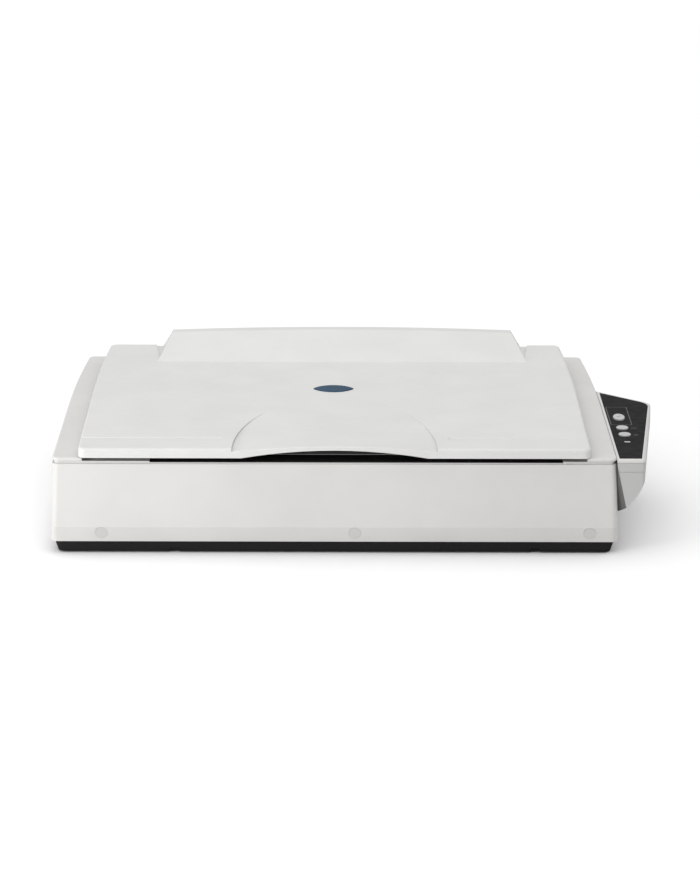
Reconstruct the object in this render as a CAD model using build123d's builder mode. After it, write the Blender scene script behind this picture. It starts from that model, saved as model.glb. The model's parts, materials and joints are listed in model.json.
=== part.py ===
"""A3 flatbed scanner with a hinged document lid and a control wing on its right side.

Frame: +Z is up, the front faces -Y, and the origin is under the middle of the whole object.
Every x below is measured from the scanner body's own centre plane, which lies at BODY_X.
"""
from math import acos, asin, cos, degrees, pi, radians, sin, tan
import os

from build123d import *

os.makedirs("parts", exist_ok=True)

# ---------------------------------------------------------------- driving dimensions (mm)
BODY_X = -25.98             # the control wing sticks out to +X, so the body sits left of the origin
BODY_BACK = 220.0
BOW_RADIUS = 3080.0        # the sides run straight from the front to y = 0, then bow inwards
WALL = 3.0

FLOOR_Z = 1.5              # underside of the base tray
TRAY_TOP_Z = 13.5
BAND_TOP_Z = 30.0          # the front leans out up to this crease, and gently back above it
BAND_FRONT = -220.0
LIP_FRONT = -216.0         # y of the casing's lower lip
SHELL_TOP_Z = 97.5
DECK_EDGE_Z = 101.3
DECK_Z = 104.0
SEAT_Z = 100.2             # the lid's seat, a shallow trough from front to back of the deck
SEAT_HALF = 262.0
RECESS_X = (-192.0, 237.0)  # a shallow dip along the seat's front, lined with a black strip
RECESS_Z = 98.9

PLATEN_X = (-219.0, 219.0)
PLATEN_Y = (-175.5, 127.5)
GLASS_X = (-244.0, 226.0)
GLASS_Y = (-181.0, 133.0)
GLASS_THICK = 3.0

LID_HALF = 266.0
LID_FRONT = -219.5
LID_BACK = 203.0
LID_BOTTOM = 104.6
LID_FRONT_TOP = 114.6
LID_SLOPE = tan(radians(1.03))
LID_SKIN = 3.0
SWELL_HALF = 107.0         # dished swell over the finger arch, bounded by half an ellipse
SWELL_DEPTH = 190.0
SWELL_LOW = 111.4          # height of its front edge at the ends
SWELL_RISE = 5.9
ARCH_HALF = 97.0
ARCH_RISE = 8.4

HUMP_X = 8.0
HUMP_HALF = 214.5
HUMP_FOOT = 124.0
HUMP_CREST = 200.0
HUMP_BACK = 214.0
HUMP_TOP = 136.9
HUMP_CROWN = 3.6

HINGE_X = 150.0
HINGE_Y = 203.0
HINGE_Z = 124.0
PIN_RADIUS = 3.0
RUNNING_GAP = 0.05
CLEAR = 0.3

WING_TOP = 103.6
WING_SPLIT = 100.0
WING_FRONT = -218.0
WING_SKIN = 2.4

ROD_Y = 148.0
ROD_Z = 34.0
ROD_RADIUS = 5.0
BELT_Y = 166.0
BELT_Z = (46.0, 54.0)
DRIVE_X = -256.0
IDLER_X = 262.0
PULLEY_RADIUS = 10.0
BELT_INNER = 10.3
BELT_OUTER = 11.6
GEAR_MODULE = 1.0
GEAR_TEETH = 48
PINION_TEETH = 12
HOME_X = -236.0            # centre of the carriage at rest


# ---------------------------------------------------------------- helpers
def level(z):
    """Horizontal plane at height z, centred on the body."""
    return Plane(origin=(BODY_X, 0, z))


def facing_front(y):
    """Vertical plane across the scanner: local x is +X, local y is +Z, the normal points forward."""
    return Plane(origin=(BODY_X, y, 0), x_dir=(1, 0, 0), z_dir=(0, -1, 0))


def facing_right(x):
    """Vertical plane along the scanner: local x is +Y, local y is +Z, the normal points right."""
    return Plane(origin=(BODY_X + x, 0, 0), x_dir=(0, 1, 0), z_dir=(1, 0, 0))


def block(x, y, z, mode=Mode.ADD):
    """A box given by its low and high limits along each axis."""
    centre = (BODY_X + (x[0] + x[1]) / 2, (y[0] + y[1]) / 2, (z[0] + z[1]) / 2)
    with Locations(centre):
        Box(x[1] - x[0], y[1] - y[0], z[1] - z[0], mode=mode)


def column(x, y, z, radius, mode=Mode.ADD):
    """An upright cylinder between two heights."""
    with Locations((BODY_X + x, y, (z[0] + z[1]) / 2)):
        Cylinder(radius, z[1] - z[0], mode=mode)


def bar_x(x, y, z, radius, mode=Mode.ADD):
    """A cylinder lying along X between two x limits."""
    with Locations((BODY_X + (x[0] + x[1]) / 2, y, z)):
        Cylinder(radius, x[1] - x[0], rotation=(0, 90, 0), mode=mode)


def bar_y(x, y, z, radius, mode=Mode.ADD):
    """A cylinder lying along Y between two y limits."""
    with Locations((BODY_X + x, (y[0] + y[1]) / 2, z)):
        Cylinder(radius, y[1] - y[0], rotation=(90, 0, 0), mode=mode)


def keep(piece, name):
    """Label a finished piece and write it to its own file."""
    piece.part.label = name
    export_step(piece.part, f"parts/{name}.step")


def bowed_plan(z, half_width, front, back, corner):
    """Plan outline at height z: sides straight in front of y = 0 and bowed inwards behind it."""
    turn = degrees(asin(back / BOW_RADIUS))
    with BuildSketch(level(z)) as plan:
        with BuildLine():
            right = Line((half_width, front), (half_width, 0))
            right_bow = JernArc(right @ 1, (0, 1), BOW_RADIUS, turn)
            left_bow = JernArc((-half_width, 0), (0, 1), BOW_RADIUS, -turn)
            Line(right_bow @ 1, left_bow @ 1)
            left = Line((-half_width, 0), (-half_width, front))
            Line(left @ 1, right @ 0)
        make_face()
        corners = vertices().group_by(Axis.Y)
        fillet(corners[0] + corners[-1], corner)
    return plan.sketch


def shell_half(z):
    """Half width of the body shell at a height: the sides draft inwards towards the deck."""
    return 296.0 - 3.0 * (z - TRAY_TOP_Z) / (SHELL_TOP_Z - TRAY_TOP_Z)


def shell_volume(inset):
    """The body shell's filled outline, drawn in by an inset all round."""
    stations = [(TRAY_TOP_Z, LIP_FRONT, BODY_BACK),
                (BAND_TOP_Z, BAND_FRONT, BODY_BACK),
                (SHELL_TOP_Z, -216.8, BODY_BACK - 2)]
    with BuildPart() as volume:
        loft([bowed_plan(z, shell_half(z) - inset, front + inset, back - inset, 7.0 - inset)
              for z, front, back in stations], ruled=True)
    return volume.part


def lid_top(y):
    """Height of the lid's flat top, which rises gently towards the hinges."""
    return LID_FRONT_TOP + (y - LID_FRONT) * LID_SLOPE


# ---------------------------------------------------------------- base and casing
FOOT_X = 255.0
FOOT_Y = 180.0
CASE_SCREWS = [(x, y) for x in (-274.0, 274.0) for y in (-150.0, 0.0, 110.0)]
BOARD_X = (40.0, 240.0)
BOARD_Y = (-150.0, 60.0)
BOARD_HOLES = [(x, y) for x in (48.0, 232.0) for y in (-142.0, 52.0)]
LOCK_SLOT_X = (HOME_X - 9, HOME_X + 9)
LOCK_SLOT_Y = (-92.0, -56.0)

with BuildPart() as base_tray:
    loft([bowed_plan(FLOOR_Z, 289, -212, 213, 8),
          bowed_plan(TRAY_TOP_Z, 292.5, -214.2, 216, 8)], ruled=True)
    extrude(bowed_plan(FLOOR_Z + WALL, 286.5, -209.5, 210.5, 6), amount=20, mode=Mode.SUBTRACT)
    for notch_x in (-167, 210):
        block((notch_x - 5, notch_x + 5), (-220, -210.2), (0, FLOOR_Z + 4), Mode.SUBTRACT)
    for foot_x in (-FOOT_X, FOOT_X):
        for foot_y in (-FOOT_Y, FOOT_Y):
            column(foot_x, foot_y, (0, FLOOR_Z + 1), 11, Mode.SUBTRACT)
    for screw_x, screw_y in CASE_SCREWS:
        column(screw_x, screw_y, (0, FLOOR_Z + 5), 2.2, Mode.SUBTRACT)
        column(screw_x, screw_y, (0, FLOOR_Z + 2), 4.0, Mode.SUBTRACT)
    for hole_x, hole_y in BOARD_HOLES:
        column(hole_x, hole_y, (FLOOR_Z + 1, 12), 4)
    column(DRIVE_X, BELT_Y, (FLOOR_Z + 1, 44), 6)
    block(LOCK_SLOT_X, LOCK_SLOT_Y, (0, 6), Mode.SUBTRACT)
    block((-240, 240), (98, 101), (FLOOR_Z + 1, 8))
keep(base_tray, "base_tray")

with BuildPart() as feet:
    for foot_x in (-FOOT_X, FOOT_X):
        for foot_y in (-FOOT_Y, FOOT_Y):
            column(foot_x, foot_y, (0, FLOOR_Z + 1), 10.5)
    fillet(edges().filter_by(GeomType.CIRCLE).group_by(Axis.Z)[0], 0.8)
keep(feet, "rubber_feet")

CAP_Z = 23.5
CAP_X = (-243.0, 21.0, 266.0)
IO_X = (192.0, 268.0)
IO_Z = (26.0, 52.0)



def cap_bar(cap_x, outer, inner, radius, mode=Mode.ADD):
    """A round bar square to the leaning band, between two distances out from its face."""
    lean = (BAND_FRONT - LIP_FRONT) / (BAND_TOP_Z - TRAY_TOP_Z)
    face_y = LIP_FRONT + lean * (CAP_Z - TRAY_TOP_Z)
    face = Plane(origin=(BODY_X + cap_x, face_y, CAP_Z), x_dir=(1, 0, 0), z_dir=(0, -1, lean))
    with BuildSketch(face.offset(inner)) as end:
        Circle(radius)
    extrude(end.sketch, amount=outer - inner, mode=mode)


with BuildPart() as body_shell:
    add(shell_volume(0))
    add(shell_volume(WALL), mode=Mode.SUBTRACT)
    for screw_x, screw_y in CASE_SCREWS:
        side = 1 if screw_x > 0 else -1
        column(screw_x, screw_y, (FLOOR_Z + WALL + 0.2, 44), 5)
        reach = sorted((screw_x, side * (shell_half(44) - WALL / 2)))
        block(reach, (screw_y - 1.5, screw_y + 1.5), (15, 44))
        column(screw_x, screw_y, (0, 26), 1.8, Mode.SUBTRACT)
    for cap_x in CAP_X:
        cap_bar(cap_x, 2, -1.5, 6.6, Mode.SUBTRACT)
        cap_bar(cap_x, 2, -6, 4.0, Mode.SUBTRACT)
    block(IO_X, (210, 222), IO_Z, Mode.SUBTRACT)
keep(body_shell, "body_shell")

with BuildPart() as front_screw_caps:
    for cap_x in CAP_X:
        cap_bar(cap_x, 0.1, -1.5, 6.4)
        cap_bar(cap_x, -1.5, -6, 3.8)
keep(front_screw_caps, "front_screw_caps")

with BuildPart() as case_screws:
    for screw_x, screw_y in CASE_SCREWS:
        column(screw_x, screw_y, (FLOOR_Z + 0.2, FLOOR_Z + 2), 3.5)
        column(screw_x, screw_y, (FLOOR_Z + 2, 24), 1.8)
        block((screw_x - 2.4, screw_x + 2.4), (screw_y - 0.4, screw_y + 0.4), (0, FLOOR_Z + 1),
              Mode.SUBTRACT)
keep(case_screws, "case_screws")

POST_HALF = 9.0            # the hinge posts are square bars
POST_HOLE = POST_HALF + 0.5
RIB_Z = SHELL_TOP_Z - 3    # a rib under the deck locates it inside the shell

with BuildPart() as deck_cover:
    extrude(bowed_plan(DECK_EDGE_Z, 293, -217, BODY_BACK - 2, 7), amount=DECK_Z - DECK_EDGE_Z)
    fillet(edges().group_by(Axis.Z)[-1], 2.2)
    extrude(bowed_plan(SHELL_TOP_Z, 291.2, -215.2, BODY_BACK - 4, 6), amount=DECK_EDGE_Z - SHELL_TOP_Z)
    extrude(bowed_plan(RIB_Z, 289.2, -213, BODY_BACK - 6, 4), amount=SHELL_TOP_Z - RIB_Z)
    extrude(bowed_plan(RIB_Z, 286.7, -210.5, BODY_BACK - 8.5, 2), amount=SHELL_TOP_Z - RIB_Z,
            mode=Mode.SUBTRACT)
    block((-SEAT_HALF, SEAT_HALF), (-230, 230), (SEAT_Z, DECK_Z + 1), Mode.SUBTRACT)
    block(PLATEN_X, PLATEN_Y, (90, 110), Mode.SUBTRACT)
    block(RECESS_X, (-230, -187), (RECESS_Z, DECK_Z), Mode.SUBTRACT)
    for side in (-1, 1):
        post_x = side * HINGE_X
        block((post_x - POST_HOLE, post_x + POST_HOLE),
              (HINGE_Y - POST_HOLE, HINGE_Y + POST_HOLE), (90, 110), Mode.SUBTRACT)
    block((-240, -224), (-178, 130), (SHELL_TOP_Z - 1, SHELL_TOP_Z + 0.9), Mode.SUBTRACT)
keep(deck_cover, "deck_cover")

with BuildPart() as calibration_strip:
    block((-239.7, -224.3), (-177.7, 129.7), (SHELL_TOP_Z + 0.1, SHELL_TOP_Z + 0.9))
keep(calibration_strip, "calibration_strip")

with BuildPart() as platen_glass:
    block(GLASS_X, GLASS_Y, (SHELL_TOP_Z - GLASS_THICK, SHELL_TOP_Z))
    chamfer(edges().filter_by(Axis.Z), 1.5)
keep(platen_glass, "platen_glass")

with BuildPart() as front_light_seal:
    block((RECESS_X[0] + 0.5, RECESS_X[1] - 0.5), (-215.0, -187.5), (RECESS_Z, RECESS_Z + 0.8))
keep(front_light_seal, "front_light_seal")

# ---------------------------------------------------------------- lid
PANEL_Z = (105.2, 107.2)
PANEL_RIM_TOP = 108.2
PANEL_SCREWS = [(x, y) for x in (-240, 240) for y in (-150, -20, 110)]
BRACKET_Y = (150.0, 186.0)
BRACKET_Z = (108.0, 110.5)
BRACKET_SCREWS = [(side * HINGE_X + x, y) for side in (-1, 1) for x in (-23, 23) for y in (157, 179)]


def lid_volume(inset, edge_radius):
    """The lid's flat-topped volume, drawn in from its front, back, sides and top by an inset."""
    front = LID_FRONT - 10
    back = LID_BACK + 30
    with BuildPart() as volume:
        extrude(bowed_plan(LID_BOTTOM - inset, LID_HALF - inset, LID_FRONT + inset,
                           LID_BACK - inset, 8.0 - inset), amount=30)
        with BuildSketch(facing_right(0)):
            with BuildLine():
                Polyline((front, 90), (back, 90), (back, lid_top(back) - inset),
                         (front, lid_top(front) - inset), close=True)
            make_face()
        extrude(amount=LID_HALF + 20, both=True, mode=Mode.INTERSECT)
        if edge_radius:
            fillet(faces().sort_by(Axis.Z)[-1].edges(), edge_radius)
    return volume.part


def swell_plan(z, grow):
    """Half an ellipse behind the lid's front edge, as a sketch at height z."""
    with BuildSketch(level(z)) as plan:
        with Locations((0, LID_FRONT)):
            Ellipse(SWELL_HALF + grow, SWELL_DEPTH + grow)
        with Locations((0, LID_FRONT - 150)):
            Rectangle(400, 300 + 2 * grow, mode=Mode.SUBTRACT)
    return plan.sketch


def swell_volume(inset, edge_radius):
    """The part of the lid inside the swell: crowned along the front edge, level at its back."""
    reach = SWELL_HALF + 8
    fall = SWELL_RISE * (reach / SWELL_HALF) ** 2
    crest = SWELL_LOW + SWELL_RISE - inset
    bottom = LID_BOTTOM - inset
    back = LID_FRONT + SWELL_DEPTH + 6
    back_top = lid_top(back) - inset
    with BuildPart() as volume:
        with BuildSketch(facing_front(LID_FRONT + inset)):
            with BuildLine():
                crown = ThreePointArc((-reach, crest - fall), (0, crest), (reach, crest - fall))
                Polyline(crown @ 1, (reach, bottom), (-reach, bottom), crown @ 0)
            make_face()
        with BuildSketch(facing_front(back)):
            with BuildLine():
                level_crown = ThreePointArc((-reach, back_top), (0, back_top + 0.02), (reach, back_top))
                Polyline(level_crown @ 1, (reach, bottom), (-reach, bottom), level_crown @ 0)
            make_face()
        loft(ruled=True)
        if edge_radius:
            fillet(edges().group_by(Axis.Y)[0].sort_by(Axis.Z)[-1], edge_radius)
        extrude(swell_plan(bottom - 1, inset), amount=30, mode=Mode.INTERSECT)
    return volume.part


def lid_body(inset, edge_radius, swell_radius):
    """The lid's volume with the swell in place of the plain front."""
    with BuildPart() as volume:
        add(lid_volume(inset, edge_radius))
        extrude(swell_plan(90, inset), amount=40, mode=Mode.SUBTRACT)
        add(swell_volume(inset, swell_radius))
    return volume.part


def hump_volume(inset):
    """The hinge cover: a slope up to a gently crowned crest, with tapered ends and a steep back."""
    stations = [(HUMP_FOOT + 3 * inset, 210, lid_top(HUMP_FOOT) - 0.4, 0.3),
                (HUMP_CREST - inset / 3, 195.5, HUMP_TOP, HUMP_CROWN),
                (HUMP_BACK - inset, 195.5, HUMP_TOP, HUMP_CROWN)]
    foot = LID_BOTTOM + 0.6 - inset
    with BuildPart() as volume:
        sections = []
        for y, top_half, top, crown in stations:
            with BuildSketch(facing_front(y)) as section:
                with BuildLine():
                    left = Line((HUMP_X - HUMP_HALF + inset, foot),
                                (HUMP_X - top_half + inset, top - inset))
                    crest = SagittaArc(left @ 1, (HUMP_X + top_half - inset, top - inset), crown)
                    Polyline(crest @ 1, (HUMP_X + HUMP_HALF - inset, foot), left @ 0)
                make_face()
            sections.append(section.sketch)
        loft(sections, ruled=True)
    return volume.part


def hump_top(y):
    """Height of the hinge cover's slope at its ends."""
    rise = (HUMP_TOP - lid_top(HUMP_FOOT)) / (HUMP_CREST - HUMP_FOOT)
    return lid_top(HUMP_FOOT) + (y - HUMP_FOOT) * rise


with BuildPart() as lid_cover:
    add(lid_body(0, 3.0, 0.8))
    for side in (-1, 1):
        with BuildSketch(level(lid_top(LID_BACK) - 2.2)):
            with BuildLine():
                Polyline((HUMP_X + side * 208, HUMP_FOOT + 17), (HUMP_X + side * 214.5, LID_BACK + 1),
                         (HUMP_X + side * 200, LID_BACK + 1), close=True)
            make_face()
        extrude(amount=10, mode=Mode.SUBTRACT)
    add(hump_volume(0))
    add(lid_body(LID_SKIN, 0, 0), mode=Mode.SUBTRACT)
    add(hump_volume(LID_SKIN), mode=Mode.SUBTRACT)
    with BuildSketch(facing_front(LID_FRONT - 1)):
        with BuildLine():
            arch = ThreePointArc((-ARCH_HALF, LID_BOTTOM), (0, LID_BOTTOM + ARCH_RISE),
                                 (ARCH_HALF, LID_BOTTOM))
            Polyline(arch @ 1, (ARCH_HALF, LID_BOTTOM - 5), (-ARCH_HALF, LID_BOTTOM - 5), arch @ 0)
        make_face()
    extrude(amount=-LID_SKIN - 2, mode=Mode.SUBTRACT)
    for side in (-1, 1):
        crease_y = LID_FRONT + 41
        with BuildSketch(facing_right(side * 118)):
            with BuildLine():
                Polyline((crease_y - 5, lid_top(crease_y - 5) + 0.1), (crease_y, lid_top(crease_y) - 1.0),
                         (crease_y + 1.5, lid_top(crease_y + 1.5) + 0.1), close=True)
            make_face()
        extrude(amount=side * 160, mode=Mode.SUBTRACT)
        slot_x = side * HINGE_X
        block((slot_x - 14.5, slot_x + 14.5), (204.5, 216), (100, 134), Mode.SUBTRACT)
    for screw_x, screw_y in BRACKET_SCREWS:
        column(screw_x, screw_y, (BRACKET_Z[1], hump_top(screw_y) - 1.5), 4)
        column(screw_x, screw_y, (BRACKET_Z[1] - 1, BRACKET_Z[1] + 8), 1.6, Mode.SUBTRACT)
    for screw_x, screw_y in PANEL_SCREWS:
        column(screw_x, screw_y, (PANEL_Z[1], lid_top(screw_y) - 1.5), 4)
        column(screw_x, screw_y, (PANEL_Z[1] - 1, PANEL_Z[1] + 3), 1.3, Mode.SUBTRACT)
keep(lid_cover, "lid_cover")

with BuildPart() as lid_inner_panel:
    extrude(bowed_plan(PANEL_Z[0], 259, -205, 146, 6), amount=PANEL_RIM_TOP - PANEL_Z[0])
    extrude(bowed_plan(PANEL_Z[1], 257, -203, 144, 4), amount=10, mode=Mode.SUBTRACT)
    for screw_x, screw_y in PANEL_SCREWS:
        column(screw_x, screw_y, (100, 115), 1.4, Mode.SUBTRACT)
keep(lid_inner_panel, "lid_inner_panel")

with BuildPart() as document_mat:
    block((-216, 216), (-172.5, 124.5), (SHELL_TOP_Z + CLEAR, PANEL_Z[0]))
    fillet(edges().filter_by(Axis.Z), 3)
keep(document_mat, "document_mat")

with BuildPart() as lid_bumpers:
    for bumper_x in (-250, 250):
        for bumper_y in (-196, 136):
            column(bumper_x, bumper_y, (SEAT_Z + CLEAR, PANEL_Z[0]), 4)
keep(lid_bumpers, "lid_bumpers")

with BuildPart() as lid_screws:
    for screw_x, screw_y in BRACKET_SCREWS:
        column(screw_x, screw_y, (BRACKET_Z[0] - 1.8, BRACKET_Z[0]), 3)
        column(screw_x, screw_y, (BRACKET_Z[0], BRACKET_Z[1] + 7), 1.6)
    for screw_x, screw_y in PANEL_SCREWS:
        column(screw_x, screw_y, (PANEL_Z[0] - 1.6, PANEL_Z[0]), 2.8)
        column(screw_x, screw_y, (PANEL_Z[0], PANEL_Z[1] + 2.6), 1.3)
keep(lid_screws, "lid_screws")

BADGE_Y = 11.0
BADGE_HALF = (22.0, 13.0)
badge_plane = Plane(origin=(BODY_X - 1.5, BADGE_Y, lid_top(BADGE_Y) + 0.02), x_dir=(1, 0, 0),
                    z_dir=(0, -LID_SLOPE, 1))
with BuildPart() as lid_badge:
    with BuildSketch(badge_plane):
        with BuildLine():
            ThreePointArc((-BADGE_HALF[0], 0), (0, BADGE_HALF[1]), (BADGE_HALF[0], 0))
            ThreePointArc((BADGE_HALF[0], 0), (0, -BADGE_HALF[1]), (-BADGE_HALF[0], 0))
        make_face()
    extrude(amount=1.0)
    chamfer(edges().filter_by(GeomType.CIRCLE).sort_by(Axis.Z)[-2:], 0.4)
keep(lid_badge, "lid_badge")

# ---------------------------------------------------------------- book hinges
for side, hand in ((-1, "left"), (1, "right")):
    post_x = side * HINGE_X

    with BuildPart() as hinge_socket:
        block((post_x - 12.5, post_x + 12.5), (HINGE_Y - 12, HINGE_Y + 12), (42, RIB_Z - 0.3))
        block((post_x - POST_HALF - CLEAR, post_x + POST_HALF + CLEAR),
              (HINGE_Y - POST_HALF - CLEAR, HINGE_Y + POST_HALF + CLEAR), (44, 100), Mode.SUBTRACT)
    keep(hinge_socket, f"hinge_socket_{hand}")

    with BuildPart() as hinge_post:
        with BuildSketch(facing_right(post_x - POST_HALF)):
            with Locations((HINGE_Y, (44 + CLEAR + 118) / 2)):
                Rectangle(2 * POST_HALF, 118 - 44 - CLEAR)
            with Locations((HINGE_Y, HINGE_Z)):
                Circle(8.6)
        extrude(amount=2 * POST_HALF)
        bar_x((post_x - 20, post_x + 20), HINGE_Y, HINGE_Z, PIN_RADIUS, Mode.SUBTRACT)
        chamfer(edges().group_by(Axis.Z)[0], 1.0)
    keep(hinge_post, f"hinge_post_{hand}")

    with BuildPart() as hinge_pin:
        bar_x((post_x - 13.8, post_x + 13.8), HINGE_Y, HINGE_Z, PIN_RADIUS)
        chamfer(edges().filter_by(GeomType.CIRCLE), 0.5)
    keep(hinge_pin, f"hinge_pin_{hand}")

    with BuildPart() as hinge_bracket:
        for ear_x in (post_x - 12.3, post_x + 9.3):
            with BuildSketch(facing_right(ear_x)):
                with BuildLine():
                    Polyline((BRACKET_Y[0], BRACKET_Z[0]), (BRACKET_Y[1], BRACKET_Z[0]),
                             (HINGE_Y + 4, HINGE_Z - 7.5), (HINGE_Y - 3, HINGE_Z + 8),
                             (BRACKET_Y[0], BRACKET_Z[0] + 5), close=True)
                make_face()
                with Locations((HINGE_Y, HINGE_Z)):
                    Circle(8.6)
            extrude(amount=3)
        block((post_x - 28, post_x + 28), BRACKET_Y, BRACKET_Z)
        bar_x((post_x - 20, post_x + 20), HINGE_Y, HINGE_Z, PIN_RADIUS + RUNNING_GAP, Mode.SUBTRACT)
        for hole_dx in (-23, 23):
            for hole_y in (157, 179):
                column(post_x + hole_dx, hole_y, (100, 120), 1.6, Mode.SUBTRACT)
    keep(hinge_bracket, f"hinge_bracket_{hand}")

# ---------------------------------------------------------------- control wing
WING_FLARE = 0.117         # the outer edge runs outwards by this much for each mm towards the back
WING_FRONT_X = 321.8
WING_GAP = 0.15
PANEL_DEPTH = 0.8


def wing_edge(y):
    """X of the wing's outer edge."""
    return WING_FRONT_X + WING_FLARE * (y - WING_FRONT)


def beside_body(gap):
    """Everything on the body's side of the wing, with the body's own side draft and bow."""
    with BuildPart() as volume:
        loft([bowed_plan(z, shell_half(z) + gap, -240, 240, 7) for z in (TRAY_TOP_Z, 115.0)],
             ruled=True)
    return volume.part


def wing_volume(inset):
    """The wing's outer form: a tapered plan cut from a body with a rounded underside."""
    back_corner_y = 11.8
    with BuildPart() as volume:
        for y in (-230.0, 80.0):
            with BuildSketch(facing_front(y)):
                with BuildLine():
                    beyond = wing_edge(y) + 1
                    sides = Polyline((270, 40), (270, 120), (beyond, 120), (beyond, 83))
                    belly = SagittaArc(sides @ 1, (290, 42), 5.5)
                    Line(belly @ 1, sides @ 0)
                make_face()
                if inset:
                    offset(amount=-inset)
        loft(ruled=True)
        with BuildSketch(level(30)):
            with BuildLine():
                Polyline((280, WING_FRONT), (wing_edge(WING_FRONT), WING_FRONT),
                         (wing_edge(back_corner_y), back_corner_y), (280, 75.9), close=True)
            make_face()
            fillet(vertices().sort_by(Axis.X)[-1], 14)
            fillet(vertices().group_by(Axis.Y)[0].sort_by(Axis.X)[-1], 3.5)
            if inset:
                offset(amount=-inset)
        extrude(amount=WING_TOP - inset - 30, mode=Mode.INTERSECT)
    return volume.part


def front_notch(margin):
    """The wedge left open between the body's side and the wing's front end."""
    with BuildPart() as volume:
        for z, x in ((38, 306.3 + margin), (97 + margin, 293.2 + margin)):
            with BuildSketch(level(z)):
                with BuildLine():
                    Polyline((262, -232), (x + 14, -232), (262, WING_FRONT + x - 262), close=True)
                make_face()
        loft(ruled=True)
    return volume.part


BUTTONS = {"start_button": (308.0, -53.0, 6.3, 12.0, 105.4),
           "copy_button": (308.2, -95.0, 6.5, 7.6, 105.0),
           "menu_button": (308.4, -122.0, 6.5, 7.6, 105.0)}
LENS_X = (306.0, 312.0)
LENS_Y = (-151.5, -147.5)

with BuildPart() as wing_body:
    add(wing_volume(0))
    add(beside_body(WING_GAP), mode=Mode.SUBTRACT)
    add(front_notch(0), mode=Mode.SUBTRACT)
    rim = [edge for edge in edges().group_by(Axis.Z)[-1] if edge.center().X > BODY_X + 296]
    fillet(rim, 3.0)

with BuildPart() as wing_cavity:
    add(wing_volume(WING_SKIN))
    add(beside_body(WING_GAP + WING_SKIN), mode=Mode.SUBTRACT)
    add(front_notch(WING_SKIN), mode=Mode.SUBTRACT)


def button_holes(clearance):
    """Cuts through the top of the wing for the buttons and the status lens."""
    for x, y, half_x, half_y, _ in BUTTONS.values():
        with BuildSketch(level(95)) as hole:
            with Locations((x, y)):
                Ellipse(half_x + clearance, half_y + clearance)
        extrude(hole.sketch, amount=15, mode=Mode.SUBTRACT)
    block((LENS_X[0] - 0.1, LENS_X[1] + 0.1), (LENS_Y[0] - 0.1, LENS_Y[1] + 0.1), (95, 110),
          Mode.SUBTRACT)


with BuildSketch(level(WING_TOP - PANEL_DEPTH)) as panel_plan:
    with BuildLine():
        Polyline((295.3, 55), (345.6, 8.5), (318.6, -214.6), (295.3, -214.6), close=True)
    make_face()
    fillet(vertices().sort_by(Axis.X)[-1], 26)

with BuildPart() as wing_upper_shell:
    add(wing_body.part)
    add(wing_cavity.part, mode=Mode.SUBTRACT)
    block((270, 380), (-250, 100), (30, WING_SPLIT), Mode.SUBTRACT)
    extrude(panel_plan.sketch, amount=5, mode=Mode.SUBTRACT)
    button_holes(0.3)
keep(wing_upper_shell, "wing_upper_shell")

with BuildPart() as wing_groove:
    block((270, 380), (-250, 100), (89.8, 90.3))
    add(wing_volume(0.5), mode=Mode.SUBTRACT)

with BuildPart() as wing_lower_shell:
    add(wing_body.part)
    add(wing_groove.part, mode=Mode.SUBTRACT)
    add(wing_cavity.part, mode=Mode.SUBTRACT)
    block((270, 380), (-250, 100), (WING_SPLIT - 0.3, 120), Mode.SUBTRACT)
keep(wing_lower_shell, "wing_lower_shell")

with BuildPart() as control_overlay:
    extrude(panel_plan.sketch, amount=PANEL_DEPTH)
    button_holes(0.3)
keep(control_overlay, "control_overlay")

with BuildPart() as overlay_frame:
    block((296.9, 320.1), (-82, -7.6), (WING_TOP, WING_TOP + 0.2))
    block((297.8, 319.2), (-81.1, -8.5), (WING_TOP - 1, WING_TOP + 1), Mode.SUBTRACT)
keep(overlay_frame, "overlay_frame")

for name, (x, y, half_x, half_y, top) in BUTTONS.items():
    with BuildPart() as button:
        with BuildSketch(level(99.3)):
            with Locations((x, y)):
                Ellipse(half_x, half_y)
        extrude(amount=top - 99.3)
        fillet(edges().group_by(Axis.Z)[-1], 0.7)
        with BuildSketch(level(99.3)):
            with Locations((x, y)):
                Ellipse(half_x + 1.2, half_y + 1.2)
        extrude(amount=1.6)
        column(x, y, (96.3, 99.3), 2)
    keep(button, name)

with BuildPart() as button_board:
    block((299, 321), (-160, -36), (90.6, 92.2))
    for x, y, _, _, _ in BUTTONS.values():
        block((x - 3, x + 3), (y - 3, y + 3), (92.2, 94.4))
        column(x, y, (94.4, 95.0), 1.7)
    column(309, -149.5, (92.2, 97), 1.5)
keep(button_board, "button_board")

with BuildPart() as status_lens:
    block(LENS_X, LENS_Y, (101.3, WING_TOP + 0.15))
keep(status_lens, "status_lens")

# ---------------------------------------------------------------- rear connectors
USB_X = 244.0
USB_Z = 36.0
INLET_X = 222.0
INLET_Z = 37.0
ROCKER_X = 205.0
ROCKER_Y = 210.0
ROCKER_Z = 38.0
ROCKER_TILT = 7.0

with BuildPart() as io_plate:
    block((190, 270), (214.5, 216), (24, 54))
    block((USB_X - 6.3, USB_X + 6.3), (210, 220), (USB_Z - 5.8, USB_Z + 5.8), Mode.SUBTRACT)
    block((INLET_X - 4.8, INLET_X + 4.8), (210, 220), (INLET_Z - 5.8, INLET_Z + 5.8), Mode.SUBTRACT)
    block((ROCKER_X - 7.8, ROCKER_X + 7.8), (206, 217.4), (ROCKER_Z - 11, ROCKER_Z + 11))
    block((ROCKER_X - 6.4, ROCKER_X + 6.4), (200, 220), (ROCKER_Z - 9.8, ROCKER_Z + 9.8), Mode.SUBTRACT)
keep(io_plate, "io_plate")

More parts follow.
